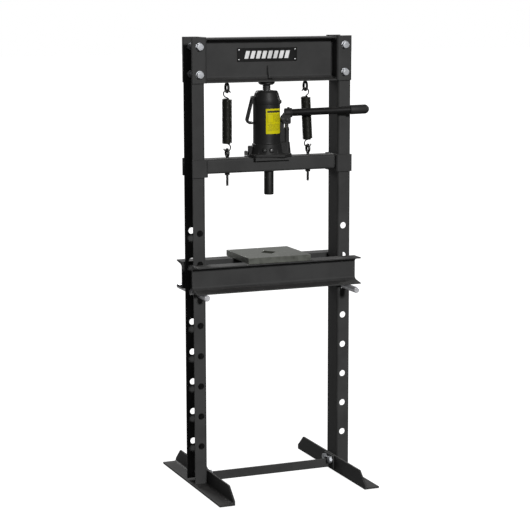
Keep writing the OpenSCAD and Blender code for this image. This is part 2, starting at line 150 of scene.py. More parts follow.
def paint(name, value, rough=0.60, peel=0.12, wear=0.45, cast=0.0, edge_mm=0.8, gloss_level=0.2):
    """Sprayed or powder-coated paint over steel: orange peel, dull patches, rubbed edges, dust."""
    s = Shader(name)
    base = grey(value)
    light = tuple(min(1, c * 1.22) for c in base[:3]) + (1,)
    dark = tuple(c * 0.82 for c in base[:3]) + (1,)
    cloud = s.noise(9.0, 4.0, 0.6)
    fine = s.noise(420.0, 2.0, 0.5)
    colour = s.mix(s.ramp(cloud, 0.3, 0.7), dark, light)
    colour = s.mix(s.ramp(fine, 0.62, 0.80, 0, 0.35), colour, grey(value * 1.7 + 0.004))
    rub = s.math("MULTIPLY", s.edge(edge_mm * MM), s.ramp(s.noise(34.0, 5.0, 0.7), 0.47, 0.72, 0, wear))
    colour = s.mix(rub, colour, grey(value * 2.0 + 0.035, 0.03))
    up = s.add("SeparateXYZ", {"Vector": s.add("NewGeometry").outputs["Normal"]}).outputs["Z"]
    dust = s.math("MULTIPLY", s.ramp(up, 0.5, 1.0), s.ramp(s.noise(60.0, 5.0, 0.7), 0.35, 0.75, 0.05, 0.30))
    colour = s.mix(dust, colour, grey(0.10, 0.05))
    scratch = s.noise(3.0, 2.0, 0.5, s.coords((40, 40, 420)), 0.4)
    gloss = s.math("ADD", s.ramp(cloud, 0.3, 0.7, rough - 0.06, rough + 0.07),
                   s.ramp(scratch, 0.66, 0.74, 0.0, 0.10))
    gloss = s.math("ADD", gloss, s.math("MULTIPLY", dust, 0.5))
    normal = s.bump(s.noise(950.0, 2.0, 0.5), peel, 0.25 * MM, s.soft_edges(0.5 * MM))
    if cast:
        normal = s.bump(s.noise(330.0, 4.0, 0.65), cast, 0.6 * MM, normal)
    s.set(Base_Color=colour, Roughness=gloss, Normal=normal)
    s.set(Specular_IOR_Level=gloss_level)
    return s.mat


def bare(name, colour, rough=0.3, metallic=1.0, grain=(60, 60, 60), dirt=0.35, rust=0.0, fine=0.06):
    """Bare or plated metal: grain along the given scale, stains, dull handling marks."""
    s = Shader(name)
    c = colour + (1,)
    low = tuple(v * 0.62 for v in colour) + (1,)
    stain = s.noise(70.0, 5.0, 0.65)
    lines = s.noise(9.0, 3.0, 0.6, s.coords(grain))
    mixed = s.mix(s.ramp(stain, 0.45, 0.75, 0, dirt), c, low)
    mixed = s.mix(s.ramp(lines, 0.4, 0.7, 0, 0.18), mixed, tuple(min(1, v * 1.18) for v in colour) + (1,))
    if rust:
        mixed = s.mix(s.ramp(s.noise(120.0, 6.0, 0.7), 0.58, 0.70, 0, rust), mixed, (0.11, 0.05, 0.025, 1))
    rub = s.math("MULTIPLY", s.edge(0.5 * MM), 0.35)
    mixed = s.mix(rub, mixed, tuple(min(1, v * 1.35 + 0.02) for v in colour) + (1,))
    gloss = s.math("ADD", s.ramp(stain, 0.3, 0.8, rough - 0.05, rough + 0.14),
                   s.ramp(lines, 0.3, 0.7, -0.03, 0.06))
    normal = s.bump(lines, fine, 0.12 * MM, s.soft_edges(0.35 * MM))
    s.set(Base_Color=mixed, Roughness=gloss, Normal=normal)
    s.set(Metallic=metallic)
    return s.mat


def rubber(name, value, rough=0.62):
    s = Shader(name)
    mottled = s.mix(s.ramp(s.noise(45.0, 4.0, 0.6), 0.3, 0.75), grey(value * 0.8), grey(value * 1.35))
    worn = s.mix(s.ramp(s.noise(18.0, 5.0, 0.7), 0.55, 0.75, 0, 0.3), mottled, grey(value * 2.2 + 0.01, 0.03))
    gloss = s.ramp(s.noise(30.0, 3.0, 0.5), 0.3, 0.7, rough - 0.08, rough + 0.12)
    s.set(Base_Color=worn, Roughness=gloss, Normal=s.bump(s.noise(700.0, 3.0, 0.6), 0.25, 0.2 * MM))
    s.set(Specular_IOR_Level=0.35)
    return s.mat


def printed_label(name):
    """Yellow film: a dark band near the top, rows of meaningless dashes, two blank panels."""
    s = Shader(name)
    uv = s.add("SeparateXYZ", {"Vector": s.add("TexCoord").outputs["UV"]})
    u, v = uv.outputs["X"], uv.outputs["Y"]

    def inside(value, low, high):
        return s.math("MULTIPLY", s.math("GREATER_THAN", value, low), s.math("LESS_THAN", value, high))

    def block(u0, u1, v0, v1):
        return s.math("MULTIPLY", inside(u, u0, u1), inside(v, v0, v1))

    row = s.math("MULTIPLY", v, 34.0)
    line = inside(s.math("FRACT", row), 0.25, 0.62)
    cell = s.add("CombineXYZ", {"X": s.math("MULTIPLY", u, 46.0), "Y": s.math("FLOOR", row)}).outputs[0]
    word = s.add("TexWhiteNoise", {"Vector": s.add("VectorMath", {0: cell}, operation="FLOOR").outputs[0]},
                 noise_dimensions="3D").outputs["Value"]
    dash = s.math("MULTIPLY", line, s.math("GREATER_THAN", word, 0.30))
    zone = s.math("MAXIMUM", block(0.10, 0.90, 0.12, 0.42), block(0.46, 0.90, 0.46, 0.78))
    small = s.math("MULTIPLY", s.math("MULTIPLY", dash, zone), 0.78)
    band = block(0.07, 0.93, 0.845, 0.925)
    frame_line = s.math("SUBTRACT", block(0.09, 0.42, 0.46, 0.78), block(0.105, 0.405, 0.467, 0.773))
    ink = s.math("MAXIMUM", s.math("MAXIMUM", small, band), s.math("MULTIPLY", frame_line, 0.8))
    dirt = s.ramp(s.noise(80.0, 5.0, 0.65), 0.45, 0.8, 0, 0.28)
    film = s.mix(dirt, (0.52, 0.47, 0.003, 1), (0.36, 0.32, 0.01, 1))
    s.set(Base_Color=s.mix(ink, film, (0.035, 0.033, 0.02, 1)),
          Roughness=s.ramp(s.noise(25.0, 3.0, 0.5), 0.3, 0.7, 0.26, 0.42),
          Normal=s.bump(s.noise(90.0, 3.0, 0.5), 0.15, 0.3 * MM))
    s.set(Specular_IOR_Level=0.15)
    return s.mat


M_FRAME = paint("frame_paint", 0.030)
M_JACK = paint("jack_enamel", 0.013, rough=0.48, peel=0.08, wear=0.4, gloss_level=0.22)
M_CAST = paint("cast_enamel", 0.013, rough=0.55, cast=0.55, wear=0.5, edge_mm=1.2)
M_HANDLE = paint("handle_enamel", 0.008, rough=0.5, peel=0.06, wear=0.3, gloss_level=0.12)
M_ARBOR = bare("plate_steel", (0.165, 0.172, 0.152), rough=0.34, metallic=0.85, grain=(40, 40, 160), dirt=0.4,
               rust=0.05)
M_PLATE = paint("sign_black", 0.005, rough=0.34, peel=0.03, wear=0.3)
M_WHITE = paint("sign_white", 0.62, rough=0.42, peel=0.03, wear=0.05)
M_ZINC = bare("zinc_plate", (0.42, 0.43, 0.45), rough=0.42, metallic=0.75, dirt=0.45, grain=(90, 90, 90))
M_PIN = bare("pin_zinc", (0.62, 0.62, 0.64), rough=0.34, metallic=0.6, dirt=0.4, grain=(400, 20, 400),
             fine=0.1)
M_RIVET = bare("rivet_aluminium", (0.75, 0.75, 0.76), rough=0.32, dirt=0.2)
M_SPRING = bare("spring_wire", (0.018, 0.018, 0.014), rough=0.46, metallic=0.5, dirt=0.3, rust=0.05)
M_BLACKENED = bare("blackened_steel", (0.045, 0.045, 0.043), rough=0.45, metallic=0.6, dirt=0.4, rust=0.06)
M_RAM = bare("ram_steel", (0.040, 0.040, 0.039), rough=0.40, metallic=0.8, grain=(120, 120, 12), rust=0.06)
M_CHROME = bare("hard_chrome", (0.70, 0.71, 0.73), rough=0.14, dirt=0.12, grain=(30, 30, 600), fine=0.03)
M_SCREW = bare("screw_steel", (0.12, 0.12, 0.12), rough=0.38, metallic=0.85, dirt=0.5, rust=0.05)
M_RUBBER = rubber("grip_rubber", 0.013)
M_LABEL = printed_label("label_film")
M_WELD = paint("weld_paint", 0.026, rough=0.40, peel=0.2, wear=0.3, cast=0.3)


# ---------------------------------------------------------------- mesh builders
def fillet(points, radii, steps=4, closed=True):
    """Polyline with its corners rounded; radii is one number or one per point."""
    n = len(points)
    if not hasattr(radii, "__len__"):
        radii = [radii] * n
    out = []
    for i, p in enumerate(points):
        if radii[i] <= 0 or (not closed and i in (0, n - 1)):
            out.append(tuple(p))
            continue
        p = Vector(p)
        a, b = Vector(points[i - 1]) - p, Vector(points[(i + 1) % n]) - p
        la, lb = a.length, b.length
        half = a.angle(b) / 2
        if half > math.pi / 2 - 0.02:
            out.append(tuple(p))
            continue
        cut = min(radii[i] / math.tan(half), la * 0.48, lb * 0.48)
        r = cut * math.tan(half)
        a.normalize()
        b.normalize()
        centre = p + (a + b).normalized() * (r / math.sin(half))
        s, e = p + a * cut - centre, p + b * cut - centre
        turn = s.angle(e)
        for k in range(steps + 1):
            t = k / steps
            w0, w1 = math.sin((1 - t) * turn) / math.sin(turn), math.sin(t * turn) / math.sin(turn)
            out.append(tuple(centre + s * w0 + e * w1))
    return out


def lathe(bm, profile, m, n=64, closed=False):
    """Turns (r, z) points round local Z. Points with r = 0 become poles."""
    rings = []
    for r, z in profile:
        if abs(r) < 1e-6:
            rings.append([bm.verts.new(m @ Vector((0, 0, z)))])
        else:
            rings.append([bm.verts.new(m @ Vector((r * math.cos(TAU * k / n), r * math.sin(TAU * k / n), z)))
                          for k in range(n)])
    pairs = list(zip(rings, rings[1:]))
    if closed:
        pairs.append((rings[-1], rings[0]))
    for a, b in pairs:
        for k in range(n):
            q = (k + 1) % n
            if len(a) == 1 and len(b) == 1:
                continue
            if len(a) == 1:
                bm.faces.new((a[0], b[q], b[k]))
            elif len(b) == 1:
                bm.faces.new((a[k], a[q], b[0]))
            else:
                bm.faces.new((a[k], a[q], b[q], b[k]))


def prism(bm, outline, z0, z1, m):
    low = [bm.verts.new(m @ Vector((x, y, z0))) for x, y in outline]
    high = [bm.verts.new(m @ Vector((x, y, z1))) for x, y in outline]
    bm.faces.new(low)
    bm.faces.new(high)
    for k in range(len(outline)):
        q = (k + 1) % len(outline)
        bm.faces.new((low[k], low[q], high[q], high[k]))


def box(bm, lo, hi, m):
    prism(bm, [(lo[0], lo[1]), (hi[0], lo[1]), (hi[0], hi[1]), (lo[0], hi[1])], lo[2], hi[2], m)


def sweep(bm, path, radius, m, n=10, closed=False):
    """Round bar along 3-D points; radius is a number or one per point."""
    pts = [Vector(p) for p in path]
    k = len(pts)
    radii = radius if hasattr(radius, "__len__") else [radius] * k
    tangents = []
    for i in range(k):
        a = pts[i - 1] if (closed or i) else pts[0]
        b = pts[(i + 1) % k] if (closed or i < k - 1) else pts[-1]
        tangents.append((b - a).normalized())
    side = tangents[0].orthogonal().normalized()
    rings = []
    for i in range(k):
        t = tangents[i]
        side = (side - t * side.dot(t)).normalized()
        other = t.cross(side)
        rings.append([bm.verts.new(m @ (pts[i] + radii[i] * (side * math.cos(TAU * j / n)
                                                             + other * math.sin(TAU * j / n))))
                      for j in range(n)])
    if closed:  # the frame may arrive turned: match the last ring to the first
        base = rings[0]
        best = min(range(n), key=lambda o: (rings[-1][o].co - base[0].co).length)
        rings[-1] = rings[-1][best:] + rings[-1][:best]
    for i in range(k if closed else k - 1):
        a, b = rings[i], rings[(i + 1) % k]
        for j in range(n):
            q = (j + 1) % n
            bm.faces.new((a[j], a[q], b[q], b[j]))
    if not closed:
        bm.faces.new(rings[0])
        bm.faces.new(rings[-1])


def threaded(bm, r, pitch, z0, z1, m, n=32, depth=None, rows=6, tip=0.8):
    """A closed bar whose surface carries a screw thread, tapered out at both ends."""
    depth = depth if depth is not None else 0.55 * pitch
    count = max(4, int((z1 - z0) / pitch * rows))
    rings = []
    for i in range(count + 1):
        z = z0 + (z1 - z0) * i / count
        ease = min(1, (z - z0) / tip + 0.15, (z1 - z) / tip + 0.15)
        ring = []
        for k in range(n):
            phase = (z / pitch - k / n) % 1.0
            groove = abs(2 * phase - 1)
            rr = r - depth * groove - (1 - ease) * 0.8 * tip * 0.5
            ring.append(bm.verts.new(m @ Vector((rr * math.cos(TAU * k / n), rr * math.sin(TAU * k / n), z))))
        rings.append(ring)
    for a, b in zip(rings, rings[1:]):
        for k in range(n):
            q = (k + 1) % n
            bm.faces.new((a[k], a[q], b[q], b[k]))
    bm.faces.new(rings[0])
    bm.faces.new(rings[-1])


def hexagon(bm, af, z0, z1, m, chamfer_top=True, chamfer_bottom=False, bore=0.0, turn=0.0):
    """Hexagon with its corners turned off by a 30 degree cone, from z0 to z1, with an optional bore."""
    n = 72
    flat, corner = af / 2, af / 2 / math.cos(math.pi / 6)

    def radius(a, cap):
        w = (a - turn) % (math.pi / 3) - math.pi / 6
        return min(flat / math.cos(w), cap)

    levels = []
    steep = math.tan(math.radians(30))
    cuts = [0, 0.15, 0.3, 0.5, 0.75, 1.0]
    rise = (corner - flat * 0.97) * steep
    if chamfer_bottom:
        levels += [(z0 + rise * c, flat * 0.97 + (corner - flat * 0.97) * c) for c in cuts]
    else:
        levels += [(z0, corner)]
    if chamfer_top:
        levels += [(z1 - rise * c, flat * 0.97 + (corner - flat * 0.97) * c) for c in reversed(cuts)]
    else:
        levels += [(z1, corner)]
    rings = []
    for z, cap in levels:
        rings.append([bm.verts.new(m @ Vector((radius(TAU * k / n, cap) * math.cos(TAU * k / n),
                                               radius(TAU * k / n, cap) * math.sin(TAU * k / n), z)))
                      for k in range(n)])
    for a, b in zip(rings, rings[1:]):
        for k in range(n):
            q = (k + 1) % n
            bm.faces.new((a[k], a[q], b[q], b[k]))
    if bore:
        inner = []
        for r, z in ((bore + 0.7, z0), (bore, z0 + 0.7), (bore, z1 - 0.7), (bore + 0.7, z1)):
            inner.append([bm.verts.new(m @ Vector((r * math.cos(TAU * k / n), r * math.sin(TAU * k / n), z)))
                          for k in range(n)])
        for a, b in list(zip(inner, inner[1:])) + [(inner[0], rings[0]), (rings[-1], inner[-1])]:
            for k in range(n):
                q = (k + 1) % n
                bm.faces.new((a[k], a[q], b[q], b[k]))
    else:
        bm.faces.new(rings[0])
        bm.faces.new(rings[-1])


def piece(name, bm, mat, body, stands_for=(), sharp=34, bevel=0.0, ride=True):
    """Finishes a mesh, gives it its material and body, and hides the CAD nodes that it stands for."""
    bmesh.ops.remove_doubles(bm, verts=bm.verts, dist=1e-7)
    bmesh.ops.dissolve_degenerate(bm, edges=bm.edges, dist=1e-7)
    bmesh.ops.recalc_face_normals(bm, faces=bm.faces)
    for f in bm.faces:
        f.smooth = True
    for e in bm.edges:
        e.smooth = len(e.link_faces) == 2 and e.calc_face_angle(0) < math.radians(sharp)
    mesh = bpy.data.meshes.new(name)
    bm.to_mesh(mesh)
    bm.free()
    mesh.materials.append(mat)
    ob = bpy.data.objects.new(name, mesh)
    scene.collection.objects.link(ob)
    if bevel:
        mod = ob.modifiers.new("eased", "BEVEL")
        mod.width, mod.segments, mod.limit_method = bevel * MM, 2, "ANGLE"
        mod.angle_limit, mod.harden_normals = math.radians(38), True
    if stands_for:
        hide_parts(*stands_for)
    if ride:
        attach(ob, body)
    return ob


def casting(name, bm, mat, body, stands_for=(), voxel=1.0, passes=6):
    """Overlapping closed shapes melted into one casting with soft inside corners."""
    bmesh.ops.recalc_face_normals(bm, faces=bm.faces)
    mesh = bpy.data.meshes.new(name)
    bm.to_mesh(mesh)
    bm.free()
    ob = bpy.data.objects.new(name, mesh)
    scene.collection.objects.link(ob)
    melt = ob.modifiers.new("melt", "REMESH")
    melt.mode, melt.voxel_size, melt.use_smooth_shade = "VOXEL", voxel * MM, True
    calm = ob.modifiers.new("calm", "SMOOTH")
    calm.factor, calm.iterations = 0.5, passes
    depsgraph = bpy.context.evaluated_depsgraph_get()
    final = bpy.data.meshes.new_from_object(ob.evaluated_get(depsgraph))
    ob.modifiers.clear()
    ob.data = final
    final.name = name
    final.materials.clear()
    final.materials.append(mat)
    for p in final.polygons:
        p.use_smooth = True
    if stands_for:
        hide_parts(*stands_for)
    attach(ob, body)
    return ob


def islands(node):
    """(lowest, highest) corner of each separate solid of a CAD node, in metres."""
    bm = bmesh.new()
    bm.from_mesh(nodes[node].data)
    bmesh.ops.remove_doubles(bm, verts=bm.verts, dist=1e-6)
    seen, found = set(), []
    for v in bm.verts:
        if v in seen:
            continue
        stack, group = [v], []
        seen.add(v)
        while stack:
            w = stack.pop()
            group.append(w.co.copy())
            for e in w.link_edges:
                o = e.other_vert(w)
                if o not in seen:
                    seen.add(o)
                    stack.append(o)
        lo = Vector([min(c[i] for c in group) for i in range(3)])
        hi = Vector([max(c[i] for c in group) for i in range(3)])
        found.append((lo, hi))
    bm.free()
    return sorted(found, key=lambda b: tuple(round(x, 4) for x in b[0]))


def place(origin, z_axis, x_hint=(0, 0, 1)):
    """Matrix from local millimetres to the row frame, its Z along z_axis."""
    z = Vector(z_axis).normalized()
    x = Vector(x_hint)
    x = (x - z * x.dot(z))
    if x.length < 1e-4:
        x = z.orthogonal()
    x.normalize()
    y = z.cross(x)
    m = Matrix((x, y, z)).transposed().to_4x4()
    m.translation = Vector(origin)
    return m @ Matrix.Scale(MM, 4)


def mid(a, b):
    return (a + b) / 2


# ---------------------------------------------------------------- materials on the CAD nodes
def dress(names, mat):
    for n in names:
        ob = nodes[n]
        ob.data.materials.clear()
        ob.data.materials.append(mat)


dress(["left_upright", "right_upright", "left_foot", "right_foot", "foot_brace", "head_beam",
       "head_left_bracket", "head_right_bracket", "head_gussets", "spring_hangers", "moving_beam",
       "beam_left_bracket", "beam_right_bracket", "jack_ledges", "bed_front_channel",
       "bed_rear_channel", "bed_spacers"], M_FRAME)
dress(["foot_bolts", "foot_washers", "foot_nuts", "head_bolts", "head_washers", "head_nuts",
       "release_valve", "lever_pivot_pin", "plunger_pin"], M_ZINC)
dress(["left_bed_pin", "right_bed_pin"], M_PIN)
dress(["name_plate_rivets"], M_RIVET)
dress(["name_plate"], M_PLATE)
dress(["left_spring", "right_spring"], M_SPRING)
dress(["beam_eye_bolts", "eye_bolt_washers", "eye_bolt_nuts"], M_BLACKENED)
dress(["press_ram", "extension_screw", "jack_cylinder"], M_RAM)
dress(["jack_tank", "jack_cap", "pump_cylinder", "carry_handle", "handle_tube"], M_JACK)
dress(["jack_base", "pump_bracket", "pump_lever", "carry_handle_lug"], M_CAST)
dress(["jack_piston", "pump_plunger"], M_CHROME)
dress(["handle_grip", "filler_plug"], M_RUBBER)
dress(["jack_label"], M_LABEL)
dress(["left_arbor_plate", "right_arbor_plate"], M_ARBOR)

# ---------------------------------------------------------------- bolts, washers, nuts
rng = random.Random(12)


def washer(bm, m, outer, inner, t):
    lathe(bm, fillet([(inner, 0), (outer, 0), (outer, t), (inner, t)], 0.35, 3), m, 40, closed=True)


def bolt_set(prefix, bolts, washers, nuts, body, axis_i):
    """Detailed heads, shanks, washers and nuts where the CAD ones are, along one world axis."""
    bb, wb, nb = bmesh.new(), bmesh.new(), bmesh.new()
    nut_boxes = islands(nuts)
    for lo, hi in islands(bolts):
        c = mid(lo, hi)
        near = min(nut_boxes, key=lambda b: (mid(*b) - c).length)
        nut_c = mid(*near)
        axis = Vector((0, 0, 0))
        axis[axis_i] = -1 if nut_c[axis_i] > c[axis_i] else 1
        end = hi if axis[axis_i] > 0 else lo
        top = c.copy()
        top[axis_i] = end[axis_i]
        m = place(top, axis)
        turn = rng.uniform(0, math.pi / 3)
        length = (hi - lo)[axis_i] / MM
        hexagon(bb, 19, -7.5, -0.05, m, turn=turn)
        lathe(bb, [(0, 0.1), (6.6, 0.1), (7.2, -0.25), (7.2, -0.6), (0, -0.6)], m, 36)
        threaded(bb, 6, 1.75, -length, -7.4, m, 28)
        nut_top = nut_c.copy()
        nut_top[axis_i] = (near[0] if axis[axis_i] > 0 else near[1])[axis_i]
        nm = place(nut_top, -axis)
        hexagon(nb, 19, -10, 0, nm, chamfer_bottom=True, bore=6.05, turn=rng.uniform(0, math.pi / 3))
    for lo, hi in islands(washers):
        t = (hi - lo)[axis_i] / MM
        a = Vector((0, 0, 0))
        a[axis_i] = 1
        start = mid(lo, hi)
        start[axis_i] = lo[axis_i]
        washer(wb, place(start, a), max((hi - lo)[(axis_i + 1) % 3], 0) / MM / 2, 6.5, t)
    piece(prefix + "_bolts", bb, M_ZINC, body, (bolts,), sharp=18)
    piece(prefix + "_washers", wb, M_ZINC, body, (washers,))
    piece(prefix + "_nuts", nb, M_ZINC, body, (nuts,), sharp=18)


bolt_set("head_fastener", "head_bolts", "head_washers", "head_nuts", "frame", 1)
bolt_set("foot_fastener", "foot_bolts", "foot_washers", "foot_nuts", "frame", 0)

# ---------------------------------------------------------------- name plate: plain chevrons, no lettering
lo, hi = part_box("name_plate")
plate_face = lo.y
pw, ph = (hi.x - lo.x) / MM, (hi.z - lo.z) / MM
front = place((lo.x, plate_face, lo.z), (0, -1, 0), (1, 0, 0))
bm = bmesh.new()
prism(bm, fillet([(0, 0), (pw, 0), (pw, ph), (0, ph)], 1.6, 4), -1.6, 0, front)
piece("sign_plate", bm, M_PLATE, "frame", ("name_plate",), bevel=0.25)
bm = bmesh.new()
marks, lean, inset, wide = 8, 6.0, 22.0, 12.0
step = (pw - 2 * inset - wide - lean) / (marks - 1)
for i in range(marks):
    x = inset + i * step
    prism(bm, fillet([(x, 8.5), (x + wide, 8.5), (x + wide + lean, ph - 8.5), (x + lean, ph - 8.5)], 1.0, 3),
          -0.1, 0.12, front)
piece("sign_marks", bm, M_WHITE, "frame")
bm = bmesh.new()
for lo, hi in islands("name_plate_rivets"):
    c = mid(lo, hi)
    m = place((c.x, plate_face, c.z), (0, -1, 0))
    lathe(bm, fillet([(0, 1.25), (1.7, 1.05), (2.7, 0.1), (2.7, -0.15), (1.5, -0.2), (1.5, -5), (0, -5)],
                     [0, 1, 0.3, 0, 0, 0, 0], 3, False), m, 28)
piece("sign_rivets", bm, M_RIVET, "frame", ("name_plate_rivets",))

# ---------------------------------------------------------------- hangers, springs, eye bolts
head_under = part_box("head_beam")[0].z
beam_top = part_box("moving_beam")[1].z
RING_WIRE, HANGER_R, HANGER_Z = 3.7, 12.2, -16
EYE_R, EYE_Z, EYE_ROD = 10.6, 14.6, 3.9
HOOK_DROP, EYE_HOOK_DROP = 29.3, 2.7
COIL_R, SPRING_WIRE = 12.9, 3.6


def ring_path(radius, centre, steps=48):
    turns = [TAU * i / steps for i in range(steps)]
    return [(0, radius * math.cos(a) + centre[1], radius * math.sin(a) + centre[2]) for a in turns]


bm = bmesh.new()
hangers = islands("spring_hangers")
for lo, hi in hangers:
    x = mid(lo, hi).x
    m = place((x, 0, head_under), (0, 0, 1), (1, 0, 0))
    sweep(bm, ring_path(HANGER_R, (0, 0, HANGER_Z)), RING_WIRE, m, 14, closed=True)
    root = [(0, 0), (5.6, 0), (4.8, -1.6), (3.2, -3.4), (0, -3.4)]
    lathe(bm, fillet(root, [0, 0.2, 1.5, 0.5, 0], 3, False), m, 24)
piece("hanger_rings", bm, M_FRAME, "frame", ("spring_hangers",))

bm, eb, wb = bmesh.new(), bmesh.new(), bmesh.new()
eyes = islands("beam_eye_bolts")
for lo, hi in eyes:
    x = mid(lo, hi).x
    rise = (hi.z - beam_top) / MM - (EYE_Z + EYE_R + RING_WIRE)
    m = place((x, 0, beam_top + rise * MM), (0, 0, 1), (1, 0, 0))
    sweep(bm, ring_path(EYE_R, (0, 0, EYE_Z)), RING_WIRE, m, 14, closed=True)
    lathe(bm, fillet([(0, 3.2), (4.4, 1.8), (5.6, 0.05), (0, 0.05)], [0, 1, 0.4, 0], 3, False), m, 24)
    lathe(bm, [(0, 2), (EYE_ROD, 2), (EYE_ROD, -36), (0, -36)], m, 24)
    threaded(bm, 3.95, 1.25, -80, -35.5, m, 24, tip=1.2)
for lo, hi in islands("eye_bolt_nuts"):
    c = mid(lo, hi)
    hexagon(eb, 13, 0, 6.5, place((c.x, c.y, lo.z), (0, 0, 1)), True, True, 3.95, rng.uniform(0, 1))
for lo, hi in islands("eye_bolt_washers"):
    c = mid(lo, hi)
    washer(wb, place((c.x, c.y, lo.z), (0, 0, 1)), 8.5, 4.3, 1.6)
piece("eye_bolts", bm, M_BLACKENED, "press_beam", ("beam_eye_bolts",))
piece("eye_nuts", eb, M_BLACKENED, "press_beam", ("eye_bolt_nuts",))
piece("eye_washers", wb, M_BLACKENED, "press_beam", ("eye_bolt_washers",))


def spring_path(length, bulge_top, bulge_low, mean=COIL_R, wire=SPRING_WIRE):
    """Centre line from the upper hook's tip, through the close coils, to the lower hook's tip.

    z = 0 and z = -length are where the hooks hold, and a bulge of 1 or -1 is the side a hook leans to.
    """
    hook = 10.6
    top, low = -16.6, -length + 13.6

    def hook_points(bulge, z_far, sign):
        # from the open tip over the far side of the loop, round the bulge and in to the axis
        zc = z_far - sign * hook
        angles = [math.radians(14 + 250 * i / 23) for i in range(24)]
        return [(bulge * hook * math.cos(a), 0, zc + sign * hook * math.sin(a)) for a in angles]

    up = hook_points(bulge_top, 7.0, 1)
    down = hook_points(bulge_low, -length - 7.0, -1)
    turns = int((top - low) / (wire * 1.012))
    n = 26
    coil = []
    for i in range(turns * n + 1):
        a = TAU * i / n
        ease = min(1, (i + 3) / (n * 0.5), (turns * n - i + 3) / (n * 0.5))
        r = mean * (ease * ease * (3 - 2 * ease)) ** 0.5
        coil.append((r * math.cos(a), r * math.sin(a), top - wire / 2 + (low - top + wire) * i / (turns * n)))
    return up + coil + list(reversed(down))


def helical_spring(name, node, hanger, eye, bulge_top, bulge_low):
    top = Vector((mid(*hanger).x, 0, head_under - HOOK_DROP * MM))
    low = Vector((mid(*eye).x, 0, eye[1].z - EYE_HOOK_DROP * MM))
    axis = top - low
    m = place(top, axis, (1, 0, 0))
    bm = bmesh.new()
    sweep(bm, spring_path(axis.length / MM, bulge_top, bulge_low), 1.78, m, 9)
    ob = piece(name, bm, M_SPRING, None, (node,), ride=False, sharp=80)
    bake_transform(ob)
    return ob


helical_spring("left_coil_spring", "left_spring", hangers[0], eyes[0], 1, -1)
helical_spring("right_coil_spring", "right_spring", hangers[1], eyes[1], -1, 1)

# ---------------------------------------------------------------- bottle jack
tank_lo, tank_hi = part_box("jack_tank")
pump_dir = Vector(joints["release_valve_turn"]["axis"])
JK = place((mid(tank_lo, tank_hi).x, mid(tank_lo, tank_hi).y, beam_top), (0, 0, 1), pump_dir)
TANK_Z, CAP_Z, CAP_TOP = 38, 152, 190
TANK_R, CAP_R, PISTON_R, COLLAR_R = 39.5, 40.5, 18, 18.9
PUMP_X, PLUNGER_R, PLUNGER_PIN_Z = 58.5, 5.5, 105
PIVOT_X, PIVOT_Z = 45.5, 107
POST_X = 37.5
ACROSS = Matrix.Rotation(math.pi / 2, 4, "X")


def boss_frame(degrees, reach, height):
    """Frame on the jack's side, its Z pointing out at that angle."""
    spin = Matrix.Rotation(math.radians(degrees), 4, "Z")
    return JK @ spin @ Matrix.Translation((reach, 0, height)) @ Matrix.Rotation(math.pi / 2, 4, "Y")


# base casting
bm = bmesh.new()
foot = fillet([(-38, -47), (48, -47), (71, -20), (71, 20), (48, 47), (-38, 47), (-54, 28), (-54, -28)], 7, 4)
prism(bm, foot, 0.0, 9.0, JK)
lathe(bm, [(0, 4), (46.8, 4), (46.2, 12), (43.8, 24), (42, 38), (0, 38)], JK, 72)
box(bm, (-54, -12, 0), (-26, 12, 31), JK)
lathe(bm, [(0, 2), (12.6, 2), (12.2, 9), (11, 22), (9.8, 34), (9.4, 41), (0, 41)],
      JK @ Matrix.Translation((PUMP_X, 0, 0)), 40)
box(bm, (28, -12, 2), (56, 12, 30), JK)
box(bm, (30, -9, 20), (54, 9, 40.6), JK)
for a in (-104, -78):
    lathe(bm, [(0, 0), (6.6, 0), (6.4, 11.6), (0, 11.6)], boss_frame(a, 36, 21), 32)
for a in (-50, 50, 130, -130):
    rib = JK @ Matrix.Rotation(math.radians(a), 4, "Z")
    prism(bm, [(38, 4), (50, 4), (42, 30), (38, 30)], -3, 3, rib @ ACROSS)
casting("jack_foot", bm, M_CAST, "press_beam", ("jack_base",), voxel=0.9, passes=5)

# plugs in the two front bosses
bm = bmesh.new()
base_plug = fillet([(0, 0.9), (1.6, 0.9), (2.2, 0.2), (4.4, 0.2), (4.9, -0.6), (4.9, -3), (0, -3)],
                   [0, 0.2, 0.2, 0.3, 0.2, 0, 0], 2, False)
for a in (-104, -78):
    lathe(bm, base_plug, boss_frame(a, 47.4, 21), 28)
piece("base_plugs", bm, M_SCREW, "press_beam")

# tank with rolled ends, cap, screw, piston
bm = bmesh.new()
wall, inside = TANK_R - 0.2, TANK_R - 2.9
tank = [(inside, TANK_Z), (TANK_R, TANK_Z), (TANK_R, TANK_Z + 2.5), (wall, TANK_Z + 4), (wall, CAP_Z - 4),
        (TANK_R, CAP_Z), (inside, CAP_Z)]
lathe(bm, fillet(tank, [0, 0.6, 0.6, 0.6, 0.8, 0.3, 0], 4), JK, 96, closed=True)
piece("oil_tank", bm, M_JACK, "press_beam", ("jack_tank",))
bm = bmesh.new()
bore = PISTON_R + 0.05
cap = [(24.4, CAP_Z), (37, CAP_Z), (CAP_R, CAP_Z + 0.2), (CAP_R, 162.5), (39.4, 165.5), (34.0, 184.5),
       (30.6, CAP_TOP - 0.1), (23, CAP_TOP), (22.4, 188.2), (bore, 188.2), (bore, 164.5), (24.4, 164.5)]
lathe(bm, fillet(cap, [0, 0, 1.2, 2.2, 3.0, 3.0, 1.6, 0.5, 0.4, 0.4, 0.3, 0], 4), JK, 96, closed=True)
piece("tank_cap", bm, M_JACK, "press_beam", ("jack_cap",))
bm = bmesh.new()
lathe(bm, fillet([(18.06, 188.3), (22.2, 188.3), (21.4, 191.0), (18.6, 190.6)], 0.5, 3), JK, 72, closed=True)
piece("wiper_ring", bm, M_RUBBER, "press_beam")
bm = bmesh.new()
